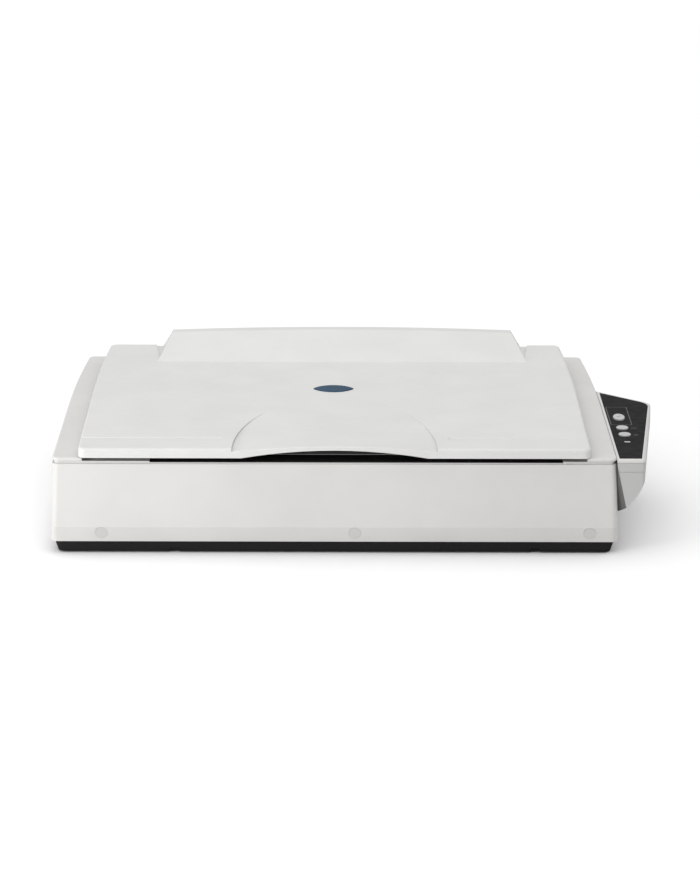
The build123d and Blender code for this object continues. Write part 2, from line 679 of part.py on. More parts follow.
with BuildPart() as usb_socket:
    block((USB_X - 6, USB_X + 6), (202, 218.4), (USB_Z - 5.5, USB_Z + 5.5))
    block((USB_X - 4.6, USB_X + 4.6), (206, 220), (USB_Z - 4.1, USB_Z + 4.1), Mode.SUBTRACT)
    block((USB_X - 2.8, USB_X + 2.8), (206, 216), (USB_Z - 1.6, USB_Z + 1.6))
keep(usb_socket, "usb_socket")

with BuildPart() as power_inlet:
    block((INLET_X - 4.5, INLET_X + 4.5), (203, 218.4), (INLET_Z - 5.5, INLET_Z + 5.5))
    bar_y(INLET_X, (207, 220), INLET_Z, 3.1, Mode.SUBTRACT)
    bar_y(INLET_X, (206, 217), INLET_Z, 1.0)
keep(power_inlet, "power_inlet")

rocker_plane = Plane(origin=(BODY_X + ROCKER_X - 6.1, ROCKER_Y, ROCKER_Z),
                     x_dir=(0, cos(radians(ROCKER_TILT)), sin(radians(ROCKER_TILT))), z_dir=(1, 0, 0))
with BuildPart() as power_rocker:
    with BuildSketch(rocker_plane):
        with BuildLine():
            front_face = Polyline((8.5, -8.6), (-2, -8.6), (-3, 0), (-2, 8.6), (8.5, 8.6))
            ThreePointArc(front_face @ 1, (6.6, 0), front_face @ 0)
        make_face()
    extrude(amount=12.2)
keep(power_rocker, "power_rocker")

# ---------------------------------------------------------------- electronics
with BuildPart() as main_board:
    block(BOARD_X, BOARD_Y, (12, 13.6))
    for hole_x, hole_y in BOARD_HOLES:
        column(hole_x, hole_y, (10, 15), 1.6, Mode.SUBTRACT)
keep(main_board, "main_board")

CHIPS = [((70, 98), (-100, -72), 2.6), ((120, 140), (-90, -70), 2.2), ((120, 140), (-50, -30), 2.2),
         ((165, 185), (-120, -100), 8.0), ((195, 207), (10, 40), 10.0), ((60, 100), (30, 38), 9.0),
         ((42, 50), (-45, -15), 6.0)]
with BuildPart() as board_components:
    for chip_x, chip_y, tall in CHIPS:
        block(chip_x, chip_y, (13.6, 13.6 + tall))
    for can_y in (-20, 0):
        column(215, can_y, (13.6, 26), 5)
keep(board_components, "board_components")

with BuildPart() as ribbon_cable:
    block((-120, 36), (-44, -16), (4.7, 5.3))
    block((35.4, 36), (-44, -16), (4.7, 17))
    block((35.4, 41.9), (-44, -16), (16.4, 17))
keep(ribbon_cable, "ribbon_cable")

# ---------------------------------------------------------------- carriage and its guides
RAIL_TOP = 46.0

with BuildPart() as guide_rod:
    bar_x((-277, 277), ROD_Y, ROD_Z, ROD_RADIUS)
    chamfer(edges().filter_by(GeomType.CIRCLE), 0.8)
keep(guide_rod, "guide_rod")

with BuildPart() as rod_clamps:
    for side in (-1, 1):
        block(sorted((side * 266, side * 276)), (138, 158), (FLOOR_Z + WALL, 44))
        bar_x(sorted((side * 260, side * 280)), ROD_Y, ROD_Z, ROD_RADIUS, Mode.SUBTRACT)
keep(rod_clamps, "rod_clamps")

with BuildPart() as side_rail:
    block((-270, 270), (-200, -198), (FLOOR_Z + WALL, RAIL_TOP))
    block((-270, 270), (-198, -188), (RAIL_TOP - 2, RAIL_TOP))
    block((-270, 270), (-198, -188), (FLOOR_Z + WALL, FLOOR_Z + WALL + 2))
keep(side_rail, "side_rail")

with BuildPart() as carriage_housing:
    block((HOME_X - 28, HOME_X + 28), (-184, 136), (44, 90))
    block((HOME_X - 25.5, HOME_X + 25.5), (-181.5, 133.5), (40, 87.5), Mode.SUBTRACT)
    block((HOME_X - 3, HOME_X + 3), (-178, 130), (80, 95), Mode.SUBTRACT)
    block((HOME_X - 24, HOME_X + 24), (134, 158), (25, 44))
    block((HOME_X - 24, HOME_X + 24), (134, 149), (44, 58))
    bar_x((HOME_X - 30, HOME_X + 30), ROD_Y, ROD_Z, 8, Mode.SUBTRACT)
    block((HOME_X - 12, HOME_X + 12), (-199, -184), (50, 54))
    block((HOME_X - 26, HOME_X + 26), (-66, -54), (44, 47))
    for tab_x in (HOME_X - 8, HOME_X + 3):
        block((tab_x, tab_x + 5), (-66, -54), (34, 44))
    block((HOME_X - 33, HOME_X - 28), (-95, -93), (64, 70))
keep(carriage_housing, "carriage_housing")

with BuildPart() as carriage_bushings:
    for ring_x in (HOME_X - 18, HOME_X + 18):
        bar_x((ring_x - 6, ring_x + 6), ROD_Y, ROD_Z, 8)
        bar_x((ring_x - 7, ring_x + 7), ROD_Y, ROD_Z, ROD_RADIUS + RUNNING_GAP, Mode.SUBTRACT)
keep(carriage_bushings, "carriage_bushings")

with BuildPart() as slide_pad:
    block((HOME_X - 10, HOME_X + 10), (-197.5, -189), (RAIL_TOP + CLEAR, 50))
keep(slide_pad, "slide_pad")

with BuildPart() as belt_clamp:
    block((HOME_X - 7, HOME_X + 7), (149, 160), (44.2, 58))
    block((HOME_X - 8, HOME_X + 8), (BELT_Y - BELT_OUTER - 0.5, BELT_Y - BELT_INNER + 0.5),
          (BELT_Z[0] - 0.5, BELT_Z[1] + 0.5), Mode.SUBTRACT)
keep(belt_clamp, "belt_clamp")

with BuildPart() as lamp_tube:
    bar_y(HOME_X - 12, (-176, 128), 82, 2.5)
keep(lamp_tube, "lamp_tube")

MIRRORS = [(0, 52, 45), (18, 57, 60), (18, 77, -50)]
with BuildPart() as carriage_mirrors:
    for mirror_x, mirror_z, lean in MIRRORS:
        with Locations((BODY_X + HOME_X + mirror_x, -24, mirror_z)):
            Box(11, 290, 1.5, rotation=(0, lean, 0))
keep(carriage_mirrors, "carriage_mirrors")

with BuildPart() as carriage_lens:
    bar_x((HOME_X - 20, HOME_X - 5), -24, 66, 8)
    bar_x((HOME_X - 6, HOME_X - 3), -24, 66, 6)
keep(carriage_lens, "carriage_lens")

with BuildPart() as sensor_board:
    block((HOME_X - 25.3, HOME_X - 23.7), (-64, 16), (52, 80))
    block((HOME_X - 23.7, HOME_X - 21.5), (-50, 2), (62, 70))
keep(sensor_board, "sensor_board")

with BuildPart() as home_sensor:
    block((-276, -266), (-104, -84), (FLOOR_Z + WALL, 60))
    block((-276, -266), (-104, -97), (60, 72))
    block((-276, -266), (-91, -84), (60, 72))
keep(home_sensor, "home_sensor")

with BuildPart() as transport_lock:
    block((HOME_X - 13, HOME_X + 13), (-104, -54), (FLOOR_Z + WALL + CLEAR, 7))
    block((HOME_X - 6, HOME_X + 6), (-90, -78), (FLOOR_Z + 0.6, 6))
    block((HOME_X - 2, HOME_X + 2), (-80, -70), (6, 42))
keep(transport_lock, "transport_lock")

# ---------------------------------------------------------------- carriage drive
MOTOR_Y = BELT_Y + GEAR_MODULE * (GEAR_TEETH + PINION_TEETH) / 2
MOTOR_HALF = 17.1
PRESSURE_ANGLE = radians(20)


def involute(angle):
    """The involute function of a pressure angle in radians."""
    return tan(angle) - angle


def gear_face(plane, teeth, phase):
    """A spur gear's outline with thinned teeth; phase turns it, in degrees."""
    pitch_r = GEAR_MODULE * teeth / 2
    base_r = pitch_r * cos(PRESSURE_ANGLE)
    root_r = pitch_r - 1.2 * GEAR_MODULE
    tip_r = pitch_r + 0.85 * GEAR_MODULE
    tooth_half = 0.44 * pi / teeth
    outline = []
    for tooth in range(teeth):
        centre = radians(phase) + 2 * pi * tooth / teeth
        flank = []
        for r in (root_r, pitch_r - 0.4 * GEAR_MODULE, pitch_r, tip_r):
            slant = involute(acos(min(1.0, base_r / r)))
            flank.append((r, tooth_half + involute(PRESSURE_ANGLE) - slant))
        outline += [(r * cos(centre - half), r * sin(centre - half)) for r, half in flank]
        outline += [(r * cos(centre + half), r * sin(centre + half)) for r, half in reversed(flank)]
    with BuildSketch(plane) as face:
        with BuildLine():
            Polyline(*outline, close=True)
        make_face()
    return face.sketch


def pulley(x):
    """A flanged belt pulley standing on an upright axle."""
    column(x, BELT_Y, BELT_Z, PULLEY_RADIUS)
    column(x, BELT_Y, (BELT_Z[0] - 1.5, BELT_Z[0] - CLEAR), 12.5)
    column(x, BELT_Y, (BELT_Z[0] - CLEAR, BELT_Z[0]), PULLEY_RADIUS)
    column(x, BELT_Y, (BELT_Z[1], BELT_Z[1] + CLEAR), PULLEY_RADIUS)
    column(x, BELT_Y, (BELT_Z[1] + CLEAR, BELT_Z[1] + 1.5), 12.5)


with BuildPart() as reduction_gear:
    pulley(DRIVE_X)
    column(DRIVE_X, BELT_Y, (BELT_Z[1] + 1.5, 60), 8)
    extrude(gear_face(Plane(origin=(BODY_X + DRIVE_X, BELT_Y, 60)), GEAR_TEETH, 0), amount=5)
    column(DRIVE_X, BELT_Y, (40, 70), 3 + RUNNING_GAP, Mode.SUBTRACT)
keep(reduction_gear, "reduction_gear")

with BuildPart() as gear_axle:
    column(DRIVE_X, BELT_Y, (44, 67), 3)
keep(gear_axle, "gear_axle")

with BuildPart() as motor_pinion:
    extrude(gear_face(Plane(origin=(BODY_X + DRIVE_X, MOTOR_Y, 59.5)), PINION_TEETH, 15), amount=6.5)
    column(DRIVE_X, MOTOR_Y, (45, 59.5), 2.5)
keep(motor_pinion, "motor_pinion")

with BuildPart() as motor_body:
    block((DRIVE_X - MOTOR_HALF, DRIVE_X + MOTOR_HALF), (MOTOR_Y - MOTOR_HALF, MOTOR_Y + MOTOR_HALF),
          (30, 56))
    chamfer(edges().filter_by(Axis.Z), 3)
    column(DRIVE_X, MOTOR_Y, (44, 60), 2.5 + RUNNING_GAP, Mode.SUBTRACT)
keep(motor_body, "motor_body")

with BuildPart() as motor_bracket:
    block((DRIVE_X - 19.4, DRIVE_X + 19.4), (180, 209), (56, 57.6))
    for leg_x in (DRIVE_X - 19.4, DRIVE_X + 17.8):
        block((leg_x, leg_x + 1.6), (182, 208), (FLOOR_Z + WALL, 56))
    column(DRIVE_X, MOTOR_Y, (50, 60), 5, Mode.SUBTRACT)
keep(motor_bracket, "motor_bracket")

with BuildPart() as idler_pulley:
    pulley(IDLER_X)
    column(IDLER_X, BELT_Y, (40, 70), 3 + RUNNING_GAP, Mode.SUBTRACT)
keep(idler_pulley, "idler_pulley")

with BuildPart() as idler_bracket:
    block((IDLER_X - 9, IDLER_X + 9), (BELT_Y - 8, BELT_Y + 8), (FLOOR_Z + WALL, 44))
    column(IDLER_X, BELT_Y, (44, 57), 3)
keep(idler_bracket, "idler_bracket")

with BuildPart() as drive_belt:
    with BuildSketch(level(BELT_Z[0])):
        with Locations(((DRIVE_X + IDLER_X) / 2, BELT_Y)):
            SlotCenterToCenter(IDLER_X - DRIVE_X, 2 * BELT_OUTER)
            SlotCenterToCenter(IDLER_X - DRIVE_X, 2 * BELT_INNER, mode=Mode.SUBTRACT)
    extrude(amount=BELT_Z[1] - BELT_Z[0])
keep(drive_belt, "drive_belt")
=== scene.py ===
"""Looks of the A3 flatbed scanner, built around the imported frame. Metres, +Z up, front towards -Y."""
import json
import math

import bmesh
import bpy
from mathutils import Matrix, Vector


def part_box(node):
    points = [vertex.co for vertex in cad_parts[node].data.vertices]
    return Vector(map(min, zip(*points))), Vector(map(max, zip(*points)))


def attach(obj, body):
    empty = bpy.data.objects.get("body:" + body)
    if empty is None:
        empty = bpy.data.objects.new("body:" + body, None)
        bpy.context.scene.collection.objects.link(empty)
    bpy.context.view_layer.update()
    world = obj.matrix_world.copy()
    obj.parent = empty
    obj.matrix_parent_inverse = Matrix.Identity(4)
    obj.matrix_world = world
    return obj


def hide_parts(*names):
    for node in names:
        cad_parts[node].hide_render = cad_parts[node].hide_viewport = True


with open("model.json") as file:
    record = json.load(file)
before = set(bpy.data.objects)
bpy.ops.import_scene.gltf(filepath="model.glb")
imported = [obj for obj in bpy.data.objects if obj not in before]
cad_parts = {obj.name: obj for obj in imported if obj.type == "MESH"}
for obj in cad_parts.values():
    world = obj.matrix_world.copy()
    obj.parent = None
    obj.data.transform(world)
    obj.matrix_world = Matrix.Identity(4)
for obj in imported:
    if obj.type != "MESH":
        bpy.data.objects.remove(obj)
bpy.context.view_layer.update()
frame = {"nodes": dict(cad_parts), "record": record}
nodes = frame["nodes"]

MM = 0.001
# The middle of the deck from side to side, which lies left of the frame's origin because of the wing.
DECK_X = (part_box("deck_cover")[0][0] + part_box("deck_cover")[1][0]) / 2


# ---------------------------------------------------------------- material tools
def linear(value):
    """An sRGB channel from 0 to 1 as linear light."""
    return value / 12.92 if value <= 0.04045 else ((value + 0.055) / 1.055) ** 2.4


def colour(red, green, blue):
    """An opaque colour from sRGB channels given from 0 to 255."""
    return (linear(red / 255), linear(green / 255), linear(blue / 255), 1.0)


def scaled(base, factor):
    """A colour made lighter or darker by a factor."""
    return (base[0] * factor, base[1] * factor, base[2] * factor, 1.0)


BODY_GREY = colour(192, 191, 189)
LID_GREY = colour(198, 198, 196)
WING_GREY = colour(170, 170, 169)
CAP_GREY = colour(183, 182, 180)

# Moulded plastic: the size and depth of its eroded grain, and the height of the wall's slow waves.
GRAIN = 0.45 * MM
GRAIN_DEPTH = 0.012 * MM
WALL_WAVES = 0.03 * MM

# The spacing in metres of Blender's wave texture at a scale of 1.
WAVE_SPACING = 0.314159


class Surface:
    """A node material being built: one shader, with textures laid out in the object's own space."""

    def __init__(self, name):
        self.material = bpy.data.materials.new(name)
        self.material.use_nodes = True
        self.tree = self.material.node_tree
        self.shader = self.tree.nodes["Principled BSDF"]
        coordinates = self.tree.nodes.new("ShaderNodeTexCoord")
        self.place = coordinates.outputs["Object"]
        self.normal = coordinates.outputs["Normal"]

    def set(self, **values):
        """Constant values on the shader's own sockets, with _ for the spaces in their names."""
        for socket, value in values.items():
            self.shader.inputs[socket.replace("_", " ")].default_value = value

    def link(self, source, target):
        self.tree.links.new(source, target)

    def stretched(self, scale):
        """Object coordinates scaled by a different factor along each axis."""
        mapping = self.tree.nodes.new("ShaderNodeMapping")
        mapping.inputs["Scale"].default_value = scale
        self.link(self.place, mapping.inputs["Vector"])
        return mapping.outputs["Vector"]

    def noise(self, size, detail=2.0, roughness=0.5, stretch=(1, 1, 1)):
        """Noise whose blobs are about the given size in metres."""
        texture = self.tree.nodes.new("ShaderNodeTexNoise")
        texture.inputs["Scale"].default_value = 1.0 / size
        texture.inputs["Detail"].default_value = detail
        texture.inputs["Roughness"].default_value = roughness
        self.link(self.stretched(stretch), texture.inputs["Vector"])
        return texture.outputs["Fac"]

    def cells(self, size):
        """Cells of about the given size in metres."""
        texture = self.tree.nodes.new("ShaderNodeTexVoronoi")
        texture.inputs["Scale"].default_value = 1.0 / size
        self.link(self.place, texture.inputs["Vector"])
        return texture.outputs["Distance"]

    def bands(self, size, axis):
        """Parallel stripes with the given spacing in metres, counted along an axis."""
        texture = self.tree.nodes.new("ShaderNodeTexWave")
        texture.bands_direction = axis
        texture.inputs["Scale"].default_value = WAVE_SPACING / size
        self.link(self.place, texture.inputs["Vector"])
        return texture.outputs["Fac"]

    def blocks(self, size):
        """Right-angled patches of about the given size in metres."""
        texture = self.tree.nodes.new("ShaderNodeTexVoronoi")
        texture.distance = "CHEBYCHEV"
        texture.inputs["Scale"].default_value = 1.0 / size
        texture.inputs["Randomness"].default_value = 0.7
        self.link(self.place, texture.inputs["Vector"])
        return texture.outputs["Distance"]

    def spread(self, source, low, high, out_low, out_high):
        """Maps a texture's useful range onto the values a socket needs."""
        mapping = self.tree.nodes.new("ShaderNodeMapRange")
        mapping.inputs["From Min"].default_value = low
        mapping.inputs["From Max"].default_value = high
        mapping.inputs["To Min"].default_value = out_low
        mapping.inputs["To Max"].default_value = out_high
        self.link(source, mapping.inputs["Value"])
        return mapping.outputs["Result"]

    def blend(self, factor, first, second):
        """Colour that runs from first to second as the factor goes from 0 to 1."""
        mix = self.tree.nodes.new("ShaderNodeMix")
        mix.data_type = "RGBA"
        sockets = {socket.identifier: socket for socket in mix.inputs}
        sockets["A_Color"].default_value = first
        sockets["B_Color"].default_value = second
        self.link(factor, sockets["Factor_Float"])
        return next(socket for socket in mix.outputs if socket.identifier == "Result_Color")

    def tint(self, source, first, second, low=0.35, high=0.65):
        """Base colour varied between two colours by a texture."""
        self.link(self.blend(self.spread(source, low, high, 0, 1), first, second),
                  self.shader.inputs["Base Color"])

    def gloss(self, source, smooth, rough, low=0.35, high=0.65):
        """Roughness varied by a texture."""
        self.link(self.spread(source, low, high, smooth, rough), self.shader.inputs["Roughness"])

    def bump(self, *layers):
        """Surface relief from (texture, height in metres) pairs."""
        normal = None
        for source, height in layers:
            node = self.tree.nodes.new("ShaderNodeBump")
            node.inputs["Strength"].default_value = 1.0
            node.inputs["Distance"].default_value = height
            self.link(source, node.inputs["Height"])
            if normal is not None:
                self.link(normal, node.inputs["Normal"])
            normal = node.outputs["Normal"]
        self.link(normal, self.shader.inputs["Normal"])


def moulded(name, base, roughness, specular=0.35, grain=GRAIN, depth=GRAIN_DEPTH, mottle=0.02):
    """Injection-moulded plastic: a fine eroded grain over a very slightly uneven wall."""
    surface = Surface(name)
    cloud = surface.noise(60 * MM, detail=3)
    surface.tint(cloud, scaled(base, 1 - mottle), scaled(base, 1 + mottle))
    surface.gloss(surface.noise(9 * MM, detail=4), roughness - 0.04, roughness + 0.05)
    surface.bump((surface.noise(grain, detail=2), depth),
                 (surface.noise(45 * MM, detail=1), WALL_WAVES))
    surface.set(Specular_IOR_Level=specular)
    return surface.material


def wing_with_painted_shade(name):
    """The wing's lower shell: moulded grey, with painted shade darkening the wedge that turns towards
    the casing.
    """
    surface = Surface(name)
    painted_shade_facing = surface.tree.nodes.new("ShaderNodeSeparateXYZ")
    surface.link(surface.normal, painted_shade_facing.inputs["Vector"])
    # painted shade: faces turned towards the casing (-X) get about a quarter of the wing's grey
    surface.tint(painted_shade_facing.outputs["X"], scaled(WING_GREY, 0.26), WING_GREY, low=-0.55, high=-0.2)
    surface.gloss(surface.noise(9 * MM, detail=4), 0.5, 0.6)
    surface.bump((surface.noise(GRAIN, detail=2), GRAIN_DEPTH), (surface.noise(45 * MM), WALL_WAVES))
    surface.set(Specular_IOR_Level=0.25)
    return surface.material


def metal(name, base, roughness, size, stretch=(1, 1, 1), depth=0.004 * MM, contrast=0.08):
    """Bare or plated metal whose grain is drawn out along the way it was worked."""
    surface = Surface(name)
    streaks = surface.noise(size, detail=4, roughness=0.6, stretch=stretch)
    surface.tint(streaks, scaled(base, 1 - contrast), scaled(base, 1 + contrast))
    surface.gloss(streaks, roughness - 0.06, roughness + 0.08)
    surface.bump((streaks, depth))
    surface.set(Metallic=1.0)
    return surface.material


def plated_steel(name):
    """Zinc plating: crystals of slightly different grey under a thin haze."""
    surface = Surface(name)
    crystals = surface.cells(1.6 * MM)
    surface.tint(crystals, colour(150, 152, 154), colour(186, 187, 188), low=0.1, high=0.7)
    surface.gloss(surface.noise(5 * MM, detail=3), 0.28, 0.42)
    surface.bump((crystals, 0.003 * MM))
    surface.set(Metallic=1.0)
    return surface.material


def sintered_bronze(name):
    """Oil-filled bearing bronze, open with fine pores."""
    surface = Surface(name)
    pores = surface.cells(0.35 * MM)
    surface.tint(pores, colour(104, 76, 42), colour(184, 146, 92), low=0.05, high=0.35)
    surface.gloss(surface.noise(2 * MM), 0.34, 0.48)
    surface.bump((pores, 0.02 * MM))
    surface.set(Metallic=1.0)
    return surface.material


def sheet_glass(name):
    """Clear float glass with the faint haze of a wiped surface."""
    surface = Surface(name)
    surface.tint(surface.noise(80 * MM), (0.93, 0.98, 0.96, 1), (0.96, 0.99, 0.98, 1))
    surface.gloss(surface.noise(30 * MM, detail=5), 0.0, 0.05)
    surface.set(IOR=1.52, Transmission_Weight=1.0)
    return surface.material


def front_mirror(name):
    """Silvered optical glass, with a little dust."""
    surface = Surface(name)
    dust = surface.noise(1.5 * MM, detail=6, roughness=0.7)
    surface.tint(dust, (0.86, 0.88, 0.89, 1), (0.93, 0.94, 0.94, 1))
    surface.gloss(dust, 0.01, 0.08, low=0.45, high=0.75)
    surface.set(Metallic=1.0)
    return surface.material


def fluorescent_tube(name):
    """A cold-cathode tube: phosphor powder behind clear glass."""
    surface = Surface(name)
    surface.tint(surface.noise(1.2 * MM, detail=5), (0.86, 0.88, 0.90, 1), (0.93, 0.94, 0.95, 1))
    surface.gloss(surface.noise(20 * MM), 0.3, 0.4)
    surface.set(Coat_Weight=1.0, Coat_Roughness=0.03)
    return surface.material


def circuit_board(name):
    """Green solder mask over copper tracks that run straight and turn at right angles."""
    surface = Surface(name)
    mask = colour(17, 74, 42)
    track = colour(38, 112, 64)
    tracks = surface.blocks(3.2 * MM)
    surface.tint(tracks, mask, track, low=0.42, high=0.46)
    surface.gloss(surface.noise(6 * MM, detail=3), 0.22, 0.34)
    surface.bump((tracks, 0.035 * MM))
    return surface.material


def flat_cable(name):
    """A white ribbon cable whose conductors show as ridges along its length."""
    surface = Surface(name)
    ridges = surface.bands(1.0 * MM, axis="Y")
    surface.tint(ridges, colour(176, 178, 180), colour(226, 226, 222), low=0.1, high=0.6)
    surface.gloss(surface.noise(12 * MM), 0.3, 0.42)
    surface.bump((ridges, 0.12 * MM))
    return surface.material


def vinyl_foam(name):
    """White foam under a soft vinyl skin: shallow dimples, a dry sheen and slight yellowing."""
    surface = Surface(name)
    surface.tint(surface.noise(70 * MM, detail=3), colour(226, 226, 222), colour(231, 231, 228))
    surface.gloss(surface.noise(14 * MM, detail=4), 0.58, 0.72)
    surface.bump((surface.cells(1.1 * MM), 0.05 * MM), (surface.noise(22 * MM, detail=2), 0.08 * MM))
    surface.set(Sheen_Weight=0.15, Sheen_Roughness=0.5, Specular_IOR_Level=0.3)
    return surface.material


def soft_rubber(name):
    """Matt black rubber with a dusty, pebbled skin."""
    surface = Surface(name)
    dust = surface.noise(3 * MM, detail=6, roughness=0.7)
    surface.tint(dust, colour(20, 20, 20), colour(44, 43, 42), low=0.35, high=0.8)
    surface.gloss(surface.noise(6 * MM), 0.74, 0.88)
    surface.bump((surface.cells(0.5 * MM), 0.04 * MM))
    surface.set(Specular_IOR_Level=0.25)
    return surface.material


MATERIALS = {
    "body_plastic": moulded("body_plastic", BODY_GREY, 0.52),
    "lid_plastic": moulded("lid_plastic", LID_GREY, 0.42, depth=0.008 * MM),
    "skirt_plastic": moulded("skirt_plastic", colour(26, 26, 26), 0.7, specular=0.12),
    "wing_plastic": wing_with_painted_shade("wing_plastic"),
    "cap_plastic": moulded("cap_plastic", CAP_GREY, 0.5, mottle=0.03),
    "overlay": moulded("overlay", colour(22, 22, 23), 0.45, specular=0.03, depth=0.006 * MM,
                       mottle=0.12),
    "print": moulded("print", colour(84, 84, 84), 0.5, specular=0.15, depth=0.003 * MM),
    "key_plastic": moulded("key_plastic", colour(174, 174, 172), 0.34, depth=0.004 * MM),
    "badge": moulded("badge", colour(44, 68, 88), 0.45, specular=0.06, depth=0.002 * MM, mottle=0.14),
    "black_plastic": moulded("black_plastic", colour(26, 26, 27), 0.55, specular=0.25, mottle=0.1),
    "white_plastic": moulded("white_plastic", colour(236, 236, 233), 0.6, depth=0.004 * MM),
    "acetal": moulded("acetal", colour(232, 229, 217), 0.38, depth=0.003 * MM),
    "rubber": soft_rubber("rubber"),
    "mat": vinyl_foam("mat"),
    "lamp": fluorescent_tube("lamp"),
    "clear": sheet_glass("clear"),
    "mirror": front_mirror("mirror"),
    "steel": plated_steel("steel"),
    "ground_steel": metal("ground_steel", colour(196, 197, 199), 0.18, 1.5 * MM,
                          stretch=(1, 0.06, 0.06)),
    "bronze": sintered_bronze("bronze"),
    "circuit": circuit_board("circuit"),
    "chips": moulded("chips", colour(30, 30, 32), 0.5, specular=0.3, grain=0.2 * MM, mottle=0.15),
    "ribbon": flat_cable("ribbon"),
}

for part in frame["record"]["subparts"]:
    mesh = nodes[part["node"]].data
    mesh.materials.clear()
    mesh.materials.append(MATERIALS[part["material_slot"]])


# ---------------------------------------------------------------- added pieces
def add_piece(name, mesh, body, slot):
    """Puts a finished mesh in the scene, on a body and with a slot's finish."""
    piece = bpy.data.objects.new(name, mesh)
    bpy.context.scene.collection.objects.link(piece)
    mesh.materials.append(MATERIALS[slot])
    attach(piece, body)
    return piece


def wall(shape, lower, upper):
    """Faces all round between two rings of vertices."""
    for here in range(len(lower)):
        after = (here + 1) % len(lower)
        shape.faces.new((lower[here], lower[after], upper[after], upper[here]))


def closed_mesh(name, shape):
    """The mesh of a finished shape, with every face turned outwards."""
    bmesh.ops.recalc_face_normals(shape, faces=shape.faces)
    mesh = bpy.data.meshes.new(name)
    shape.to_mesh(mesh)
    shape.free()
    return mesh


def plates(name, outlines, low, high, body, slot):
    """One piece made of thin plates: each outline, a list of (x, y) points, from height low to high."""
    shape = bmesh.new()
    for outline in outlines:
        bottom = [shape.verts.new((x, y, low)) for x, y in outline]
        top = [shape.verts.new((x, y, high)) for x, y in outline]
        shape.faces.new(top)
        shape.faces.new(bottom[::-1])
        wall(shape, bottom, top)
    add_piece(name, closed_mesh(name, shape), body, slot)


def rectangle(x, y, half_x, half_y, turn=0.0):
    """Corner points of a rectangle about (x, y), turned by an angle in degrees."""
    across = Vector((math.cos(math.radians(turn)), math.sin(math.radians(turn))))
    along = Vector((-across.y, across.x))
    corners = [across * i * half_x + along * j * half_y for i, j in ((-1, -1), (1, -1), (1, 1), (-1, 1))]
    return [(x + corner.x, y + corner.y) for corner in corners]


def rounded_outline(half_x, half_y, radius, steps=8, side_steps=24):
    """Points round a rectangle with rounded corners, each with its hold.

    The hold says how far a point follows its side when that is drawn in: 0 at a corner, 1 in mid-side.
    """
    points = []
    corners = ((1, 1, 0), (-1, 1, 90), (-1, -1, 180), (1, -1, 270))
    for number, (side_x, side_y, start) in enumerate(corners):
        centre = Vector((side_x * (half_x - radius), side_y * (half_y - radius)))
        for step in range(steps + 1):
            angle = math.radians(start + 90 * step / steps)
            points.append((centre + radius * Vector((math.cos(angle), math.sin(angle))), 0.0))
        next_x, next_y, next_start = corners[(number + 1) % 4]
        following = Vector((next_x * (half_x - radius), next_y * (half_y - radius)))
        turn = Vector((math.cos(math.radians(next_start)), math.sin(math.radians(next_start))))
        first = points[-1][0]
        last = following + radius * turn
        for step in range(1, side_steps):
            share = step / side_steps
            points.append((first.lerp(last, share), math.sin(math.pi * share)))
    return points


def foam_mat():
    """The lid's backing pad: soft round edges, sides drawn in between the corners, a crowned face."""
    low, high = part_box("document_mat")
    centre = (Vector(low) + Vector(high)) / 2
    half_x = (high[0] - low[0]) / 2
    half_y = (high[1] - low[1]) / 2
    thick = high[2] - low[2]
    corner_radius = 9 * MM
    draw_in = 1.8 * MM
    outline = rounded_outline(half_x, half_y, corner_radius)
    # (millimetres in from the edge, share of the thickness, share of the sides' draw-in), from the
    # face that presses on the sheet up to the back
    face = [(130, 0.0, 0), (70, 0.0, 0), (30, 0.015, 0), (12, 0.05, 0.2), (5, 0.10, 0.5), (2, 0.19, 0.8)]
    edge = [(0.5, 0.34, 1), (0, 0.52, 1), (0.3, 0.70, 1)]
    back = [(1.2, 0.86, 0.8), (3, 0.96, 0.5), (8, 1.0, 0.2), (60, 1.0, 0), (130, 1.0, 0)]
    shape = bmesh.new()
    rings = []
    for inset, share, pull in face + edge + back:
        ring = []
        for point, hold in outline:
            reach_x = 1 - inset * MM / half_x
            reach_y = 1 - inset * MM / half_y
            squeeze = 1 - pull * hold * draw_in / max(abs(point.x), abs(point.y))
            ring.append(shape.verts.new((centre.x + point.x * reach_x * squeeze,
                                         centre.y + point.y * reach_y * squeeze,
                                         low[2] + share * thick)))
        rings.append(ring)
    for lower, upper in zip(rings, rings[1:]):
        wall(shape, lower, upper)
    shape.faces.new(rings[0][::-1])
    shape.faces.new(rings[-1])
    mesh = closed_mesh("foam_mat", shape)
    mesh.shade_smooth()
    mat = add_piece("foam_mat", mesh, "lid", "mat")
    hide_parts("document_mat")


def tick_length(tick):
    """The length of a ruler's tick: longest at every tenth, middling at every fifth, else short."""
    if tick % 10 == 0:
        return 7 * MM
    return (5 if tick % 5 == 0 else 3) * MM


